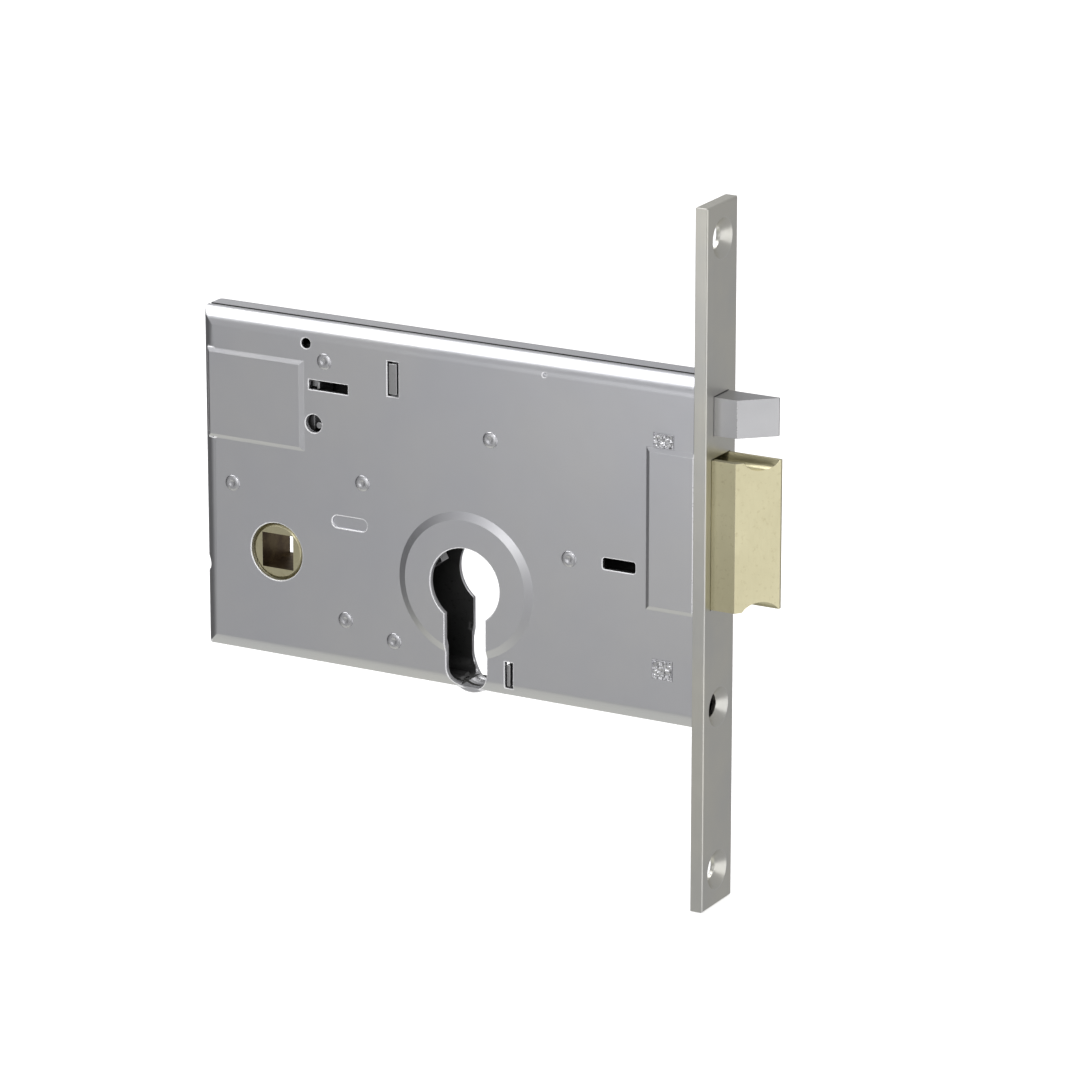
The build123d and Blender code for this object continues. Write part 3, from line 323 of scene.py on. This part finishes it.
def tube_rows(path, radius, sides):
    """Rings of points round a path, turned along it without twist."""
    rows = []
    normal = None
    for i, point in enumerate(path):
        before = path[i - 1] if i else point
        after = path[i + 1] if i + 1 < len(path) else point
        along = (after - before).normalized()
        if normal is None:
            normal = along.orthogonal().normalized()
        normal = (normal - along * normal.dot(along)).normalized()
        across = along.cross(normal)
        turns = [2 * math.pi * k / sides for k in range(sides)]
        rows.append([point + (normal * math.cos(t) + across * math.sin(t)) * radius for t in turns])
    return rows


def tube(name, path, radius, material, sides=10):
    """Round wire along a path."""
    return grid_mesh(name, tube_rows(path, radius, sides), material)


# ---- the two shells ----

CASE_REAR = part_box("case_cover")[0].x
CASE_BOTTOM = -25.0 * MM
CASE_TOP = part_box("case_cover")[1].z
PLATE_Y = 6.5 * MM
BEND = 4.0 * MM
PRESSED_FROM = math.radians(15)
PRESSED_ROUND = 0.4 * MM
AT_SURFACE = 0.3 * SHEET
JUST_BELOW = 0.2 * SHEET
WELL_BELOW = 0.8 * SHEET
TINY = 0.001 * MM
STAKE_ROOM = 0.5 * MM


def depth_in_case(at):
    """How far a point lies below the outer surface of the closed case, whose edges are rolled."""
    from_side = PLATE_Y - abs(at.y)
    from_edge = min(at.x - CASE_REAR, at.z - CASE_BOTTOM, CASE_TOP - at.z)
    if from_side < BEND and from_edge < BEND:
        return BEND - math.hypot(BEND - from_side, BEND - from_edge)
    return min(from_side, from_edge)


def inside_case(face):
    """True for faces on the hidden side of the shells, which get painted shade."""
    depth = depth_in_case(face.center)
    faces_in = face.normal.y * face.center.y < 0 and abs(face.normal.y) > 0.5
    return depth > WELL_BELOW or (faces_in and depth > JUST_BELOW)


def stake_boxes():
    """Low and high (x, z) round each staked tab of the bracket, with room to spare."""
    ends = [v.co for v in frame["nodes"]["front_bracket"].data.vertices if abs(v.co.y) > PLATE_Y]
    middle = sum(at.z for at in ends) / len(ends)
    boxes = []
    for tab in ([at for at in ends if at.z > middle], [at for at in ends if at.z < middle]):
        low = (min(at.x for at in tab) - STAKE_ROOM, min(at.z for at in tab) - STAKE_ROOM)
        high = (max(at.x for at in tab) + STAKE_ROOM, max(at.z for at in tab) + STAKE_ROOM)
        boxes.append((low, high))
    return boxes


STAKES = stake_boxes()


def keeps_rim(edge):
    """True for cut edges on a broad face, away from the seam and from the hammered stakes."""
    at = (edge.verts[0].co + edge.verts[1].co) / 2
    if min(abs(vert.co.y) for vert in edge.verts) < PLATE_Y - BEND:
        return False
    return not any(low[0] < at.x < high[0] and low[1] < at.z < high[1] for low, high in STAKES)


def round_shell(piece, width, segments, angle):
    """Soften the pressed slopes, round the rims in the second material, a lighter copy that paints a
    highlight, and mark other cut edges sharp.
    """
    shape = bmesh.new()
    shape.from_mesh(piece.data)

    def outer_edges(low, high):
        """Edges on the outer surface that turn by an angle between the two."""
        chosen = []
        for edge in shape.edges:
            if edge.is_manifold and max(depth_in_case(vert.co) for vert in edge.verts) < AT_SURFACE:
                if low < edge.calc_face_angle() < high:
                    chosen.append(edge)
        return chosen

    limit = math.radians(angle)
    bmesh.ops.bevel(shape, geom=outer_edges(PRESSED_FROM, limit), offset=PRESSED_ROUND, offset_type="OFFSET",
                    segments=3, profile=0.5, affect="EDGES", clamp_overlap=True, material=-1)
    rims = [edge for edge in outer_edges(limit, math.pi) if keeps_rim(edge)]
    bmesh.ops.bevel(shape, geom=rims, offset=width * MM, offset_type="OFFSET",
                    segments=segments, profile=0.5, affect="EDGES", clamp_overlap=False, material=1)
    bmesh.ops.dissolve_degenerate(shape, dist=TINY, edges=shape.edges)
    left_square = set(outer_edges(limit, math.pi))
    for edge in shape.edges:
        edge.smooth = edge not in left_square
    shape.to_mesh(piece.data)
    shape.free()
    even_normals(piece, keep_sharp=True)


cover = finished("case_cover", width=0.24, angle=50, rounding=round_shell)
tray = finished("case_tray", width=0.20, angle=50, rounding=round_shell)
# The inner faces of the shells are painted dark as shade.
for shell in (cover, tray):
    paint(shell, ZINC_PAINTED_SHADE, inside_case)

finished("forend", width=0.2)


# ---- turned posts with riveted ends ----

def turned(name, node, profile, steps=40):
    """Body of revolution about Y through a node's middle; profile is (distance along Y, radius) in mm."""
    at = centre(node)
    rows = []
    for along, radius in profile:
        ring = []
        for k in range(steps):
            turn = 2 * math.pi * k / steps
            offset = Vector((math.cos(turn) * radius, along, math.sin(turn) * radius)) * MM
            ring.append(at + offset)
        rows.append(ring)
    mesh = grid_mesh(name, rows, STEEL)
    mesh.materials.append(RIVET)
    return mesh


POST_RADIUS = 2.0
TENON_RADIUS = 1.3
POST_CHAMFER = 0.1
HEAD_RISE = 0.35
SHEET_IN_MM = 1.2
HEAD_SHAPE = [(0.14, 0.25), (0.12, 0.5), (0.02, 0.75), (0, 1.0), (0.03, 1.35), (0.11, 1.65), (0.22, 1.84),
              (0.33, 1.88), (HEAD_RISE, TENON_RADIUS)]


def rivet_profile(reach):
    """Half profile of a post in mm: dimpled and domed head, tenon and shoulder."""
    head = [(reach - below, radius) for below, radius in HEAD_SHAPE]
    shoulder = reach - HEAD_RISE - SHEET_IN_MM
    body = [(shoulder, TENON_RADIUS), (shoulder, POST_RADIUS - POST_CHAMFER),
            (shoulder - POST_CHAMFER, POST_RADIUS)]
    return head + body


POSTS = ["armature_post", "release_post", "tail_guide_post", "spring_stop_post", "follower_spring_post",
         "lever_post", "front_spacer_post"]
HEAD_DEPTH = 0.4


def add_posts():
    """The seven posts, with their two riveted ends in a brighter metal than their middles."""
    for post in POSTS:
        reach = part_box(post)[1].y / MM
        half = rivet_profile(reach)
        profile = half + [(-along, radius) for along, radius in reversed(half)]
        mesh = turned(post + "_turned", post, profile)
        head_y = (reach - HEAD_DEPTH) * MM
        for face in mesh.polygons:
            if abs(face.center.y) > head_y:
                face.material_index = 1
        piece = new_piece(post + "_turned", mesh, post)
        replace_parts(piece, post)


add_posts()


# ---- bracket with hammered stakes, sheet pieces and levers ----

STAKE_DENTS = 1900
STAKE_CUTS = 11
DENT_MIDDLE = 0.16
DENT_SWING = 0.42
DENT_DEEPEST = 0.3
STAKE_END = 0.5 * MM


def hammer_stakes(piece):
    """Break up the proud ends of the staked tabs with small dents."""
    top = max(abs(v.co.y) for v in piece.data.vertices)
    shape = bmesh.new()
    shape.from_mesh(piece.data)
    ends = [f for f in shape.faces if abs(abs(f.calc_center_median().y) - top) < 0.02 * MM]
    edges = {edge for face in ends for edge in face.edges}
    bmesh.ops.subdivide_edges(shape, edges=list(edges), cuts=STAKE_CUTS, use_grid_fill=True)
    for vert in shape.verts:
        if abs(abs(vert.co.y) - top) < TINY:
            dent = DENT_MIDDLE + DENT_SWING * noise.noise(vert.co * STAKE_DENTS)
            vert.co.y -= math.copysign(min(max(dent, 0), DENT_DEEPEST) * MM, vert.co.y)
    shape.to_mesh(piece.data)
    shape.free()
    smooth = [abs(face.center.y) < top - STAKE_END for face in piece.data.polygons]
    piece.data.polygons.foreach_set("use_smooth", smooth)


bracket = finished("front_bracket", width=0.15)
hammer_stakes(bracket)
STAKE_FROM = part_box("front_bracket")[1].y - STAKE_END
paint(bracket, RIVET, lambda face: abs(face.center.y) > STAKE_FROM)
SHEET_PIECES = ["cylinder_screw_guide", "loading_spring_anchor", "latch_spring_stop", "coil_yoke",
                "coil_core", "armature", "release_lever", "cylinder_lever", "latch_tail"]
ROUND_PIECES = ["tail_rivets", "latch_spring_rod", "loading_rod", "rod_cross_pin", "loading_spring_collar",
                "armature_stud"]
for node_name in SHEET_PIECES:
    finished(node_name, width=0.12)
for node_name in ROUND_PIECES:
    finished(node_name, width=0.15, segments=3)


# ---- bolts and follower ----

finished("latch_head", width=0.22, segments=3)
finished("trigger_bolt", width=0.2, segments=3)
follower = finished("follower", width=0.15)
FOLLOWER_AT = (-49.2 * MM, 0.5 * MM)
SQUARE_REACH = 4.06 * MM


def in_square_hole(face):
    """True for the walls of the follower's square hole."""
    offset_x = abs(face.center.x - FOLLOWER_AT[0])
    offset_z = abs(face.center.z - FOLLOWER_AT[1])
    return max(offset_x, offset_z) < SQUARE_REACH and abs(face.normal.y) < 0.5


# The walls of the square hole and the follower's outer sides get dark brass as painted shade.
paint(follower, BRASS_PAINTED_SHADE, lambda face: in_square_hole(face) or abs(face.normal.y) < 0.3)


# ---- springs ----

COIL_STEPS = 24


def compression_spring(node, wire, turns):
    """Coil with closed ends along X between the node's ends."""
    low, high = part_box(node)
    middle = (low + high) / 2
    radius = (high.z - low.z) / 2 - wire / 2 * MM
    length = high.x - low.x
    closed = 1.5
    total = turns * COIL_STEPS
    free_turns = turns - 2 * closed
    free_length = length - wire * MM - 2 * closed * wire * MM
    points = []
    for k in range(total + 1):
        t = k / COIL_STEPS
        settled = min(t, closed) + max(0, t - (turns - closed))
        stretched = min(max(t - closed, 0), free_turns)
        x = low.x + wire / 2 * MM + settled * wire * MM + stretched * free_length / free_turns
        turn = 2 * math.pi * t
        points.append(Vector((x, middle.y + math.cos(turn) * radius, middle.z + math.sin(turn) * radius)))
    piece = new_piece(node + "_coil", tube(node + "_coil", points, wire / 2 * MM, WIRE), node, "case")
    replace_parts(piece, node)
    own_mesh(piece)


def torsion_spring(node, wire, legs, leg_length):
    """Close coil round a post with two straight legs; legs are the angles that they point to, in degrees."""
    low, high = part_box(node)
    middle = (low + high) / 2
    radius = (high.x - low.x) / 2 - wire / 2 * MM
    turns = int((high.y - low.y) / (wire * MM) - 1)
    start, end = (math.radians(leg) for leg in legs)
    sweep = turns * 2 * math.pi + (end - start) % (2 * math.pi)
    steps = COIL_STEPS * turns
    points = []
    for k in range(steps + 1):
        share = k / steps
        turn = start + sweep * share
        y = low.y + wire / 2 * MM + (high.y - low.y - wire * MM) * share
        points.append(Vector((middle.x + math.cos(turn) * radius, y, middle.z + math.sin(turn) * radius)))
    first = Vector((math.sin(start), 0, -math.cos(start))) * leg_length * MM
    last = Vector((-math.sin(start + sweep), 0, math.cos(start + sweep))) * leg_length * MM
    first_leg = [points[0] + first * share for share in (1.0, 0.5)]
    last_leg = [points[-1] + last * share for share in (0.5, 1.0)]
    points = first_leg + points + last_leg
    piece = new_piece(node + "_coil", tube(node + "_coil", points, wire / 2 * MM, WIRE), node, "case")
    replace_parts(piece, node)


compression_spring("latch_spring", 0.9, 14)
compression_spring("loading_spring", 0.8, 13)
torsion_spring("follower_spring", 0.8, (200, 20), 4.0)
torsion_spring("lever_spring", 0.7, (250, 60), 4.0)
torsion_spring("armature_spring", 0.6, (80, 300), 3.5)
torsion_spring("release_spring", 0.6, (300, 100), 3.5)


# ---- solenoid winding, leads and terminals ----

def rounded_loop(half_y, half_z, corner, steps=6):
    """Closed loop of (y, z) round a rectangle with round corners."""
    loop = []
    for quarter in range(4):
        sign_y = 1 if quarter in (0, 3) else -1
        sign_z = 1 if quarter in (0, 1) else -1
        for k in range(steps + 1):
            turn = math.pi / 2 * (quarter + k / steps)
            loop.append((sign_y * (half_y - corner) + math.cos(turn) * corner,
                         sign_z * (half_z - corner) + math.sin(turn) * corner))
    return loop


WINDING_WIRE = 0.36
WINDING_CORNER = 2.8
LAYER_CORNER = 2.7
LAYER_INSET = 0.05 * MM


def add_winding():
    """Outer layer of the coil as one continuous wire, over a solid for the layers under it."""
    low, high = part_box("coil_winding")
    middle = (low + high) / 2
    wire = WINDING_WIRE
    half_y = (high.y - low.y) / 2 / MM - wire / 2
    half_z = (high.z - low.z) / 2 / MM - wire / 2
    turns = int((high.x - low.x) / (wire * MM)) - 1
    loop = rounded_loop(half_y, half_z, WINDING_CORNER)
    points = []
    for turn in range(turns):
        for k, (y, z) in enumerate(loop):
            x = low.x + wire * MM * (turn + 0.7 + k / len(loop))
            points.append(Vector((x, middle.y + y * MM, middle.z + z * MM)))
    mesh = tube("winding_wire", points, wire / 2 * MM, COPPER, sides=6)
    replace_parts(new_piece("winding_wire", mesh, "coil_winding"), "coil_winding")
    inner = rounded_loop(half_y - wire / 4, half_z - wire / 4, LAYER_CORNER)
    rows = [[Vector((x, middle.y + y * MM, middle.z + z * MM)) for y, z in inner]
            for x in (low.x + LAYER_INSET, high.x - LAYER_INSET)]
    new_piece("winding_layers", grid_mesh("winding_layers", rows, COPPER), "coil_winding")


LEAD_BOW = 0.12
LEAD_STEPS = 24


def add_leads():
    """Two insulated leads from the bobbin to the terminal block, each with a slight bow."""
    low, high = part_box("coil_leads")
    radius = (high.x - low.x) / 2
    for name, y, material, side in (("lead_red", low.y + radius, LEAD_RED, 1),
                                    ("lead_black", high.y - radius, LEAD_BLACK, -1)):
        points = []
        for k in range(LEAD_STEPS + 1):
            share = k / LEAD_STEPS
            bow = math.sin(math.pi * share) ** 2 * LEAD_BOW * MM * side
            points.append(Vector(((low.x + high.x) / 2, y + bow * 0.5, low.z + (high.z - low.z) * share)))
        piece = new_piece(name, tube(name, points, radius, material, sides=14), "coil_leads")
        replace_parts(piece, "coil_leads")


add_winding()
add_leads()
finished("coil_bobbin", width=0.15, looks=(BOBBIN, BOBBIN_RIM_HIGHLIGHT))
finished("terminal_block", width=0.25, segments=3)
finished("terminal_screws", width=0.12)


# ---- camera, floor and light ----

VIEW_TURN = math.radians(29)
VIEW_RISE = math.radians(17.2)
VIEW_DISTANCE = 1.341
VIEW_SIDE = 0.0133
VIEW_UP = 0.0085
LENS = 200.4


def add_camera():
    """Long lens, turned to the cover side and the forend, from a little above."""
    right = Vector((math.cos(VIEW_TURN), math.sin(VIEW_TURN), 0))
    level = math.cos(VIEW_RISE)
    back = Vector((math.sin(VIEW_TURN) * level, -math.cos(VIEW_TURN) * level, math.sin(VIEW_RISE)))
    up = back.cross(right)
    data = bpy.data.cameras.new("camera")
    data.lens = LENS
    data.sensor_width = 36
    data.clip_start = 0.05
    camera = bpy.data.objects.new("camera", data)
    camera.location = right * VIEW_SIDE + up * VIEW_UP + back * VIEW_DISTANCE
    camera.rotation_euler = (math.pi / 2 - VIEW_RISE, 0, VIEW_TURN)
    bpy.context.scene.collection.objects.link(camera)
    bpy.context.scene.camera = camera


def add_floor():
    """White disc, bright enough that shadows wash out; it stays out of the metal's reflections."""
    low = CAD_BOX[0].z
    mesh = bpy.data.meshes.new("floor")
    shape = bmesh.new()
    bmesh.ops.create_circle(shape, cap_ends=True, segments=96, radius=6)
    bmesh.ops.translate(shape, verts=shape.verts, vec=(0, 0, low - 0.2 * MM))
    shape.to_mesh(mesh)
    shape.free()
    floor = bpy.data.objects.new("floor", mesh)
    bpy.context.scene.collection.objects.link(floor)
    tree = Tree("floor")
    tree.use("Base Color", (0.93, 0.93, 0.93, 1))
    tree.use("Roughness", 0.9)
    tree.use("Specular IOR Level", 0.1)
    tree.use("Emission Color", (1, 1, 1, 1))
    tree.use("Emission Strength", 0.62)
    mesh.materials.append(tree.material)
    floor.visible_glossy = False
    floor.visible_shadow = False


def add_light(name, place, size, radiance, colour=(1, 1, 1), target=(0, 0, 0)):
    """Soft box that faces a target; radiance is how bright its reflection is."""
    data = bpy.data.lights.new(name, "AREA")
    data.shape = "RECTANGLE"
    data.size, data.size_y = size
    data.energy = radiance * math.pi * size[0] * size[1]
    data.color = colour
    light = bpy.data.objects.new(name, data)
    light.location = place
    light.rotation_euler = (Vector(target) - Vector(place)).to_track_quat("-Z", "Y").to_euler()
    light.visible_camera = False
    bpy.context.scene.collection.objects.link(light)


def add_world(strength, shaded):
    """Even grey room that is darker on the side behind the case's rear edge."""
    world = bpy.data.worlds.new("studio")
    world.use_nodes = True
    nodes = world.node_tree.nodes
    links = world.node_tree.links
    background = nodes["Background"]
    background.inputs["Color"].default_value = (1, 1, 1, 1)
    split = nodes.new("ShaderNodeSeparateXYZ")
    links.new(nodes.new("ShaderNodeTexCoord").outputs["Generated"], split.inputs["Vector"])
    ramp = nodes.new("ShaderNodeMapRange")
    ramp.interpolation_type = "SMOOTHSTEP"
    ramp.inputs["From Min"].default_value = -0.95
    ramp.inputs["From Max"].default_value = -0.6
    ramp.inputs["To Min"].default_value = shaded
    ramp.inputs["To Max"].default_value = strength
    links.new(split.outputs["X"], ramp.inputs["Value"])
    links.new(ramp.outputs["Result"], background.inputs["Strength"])
    bpy.context.scene.world = world


add_camera()
add_floor()
add_world(0.37, 0.08)
add_light("top", (-0.46, 0.03, 0.88), (1.2, 0.8), 2.2)
add_light("key", (0.25, -0.90, 0.50), (0.45, 0.35), 3.0)
add_light("right", (0.75, -0.34, -0.08), (0.7, 0.8), 0.68)
add_light("front", (-0.05, -0.42, 0.05), (0.24, 0.24), 0.7, target=(0.05, 0, 0.05))
add_light("under", (-0.35, 0.0, -0.5), (1.3, 0.7), 0.24, (1, 1, 0.80), target=(-0.34, 0, 0))
bpy.context.scene.view_settings.view_transform = "Standard"
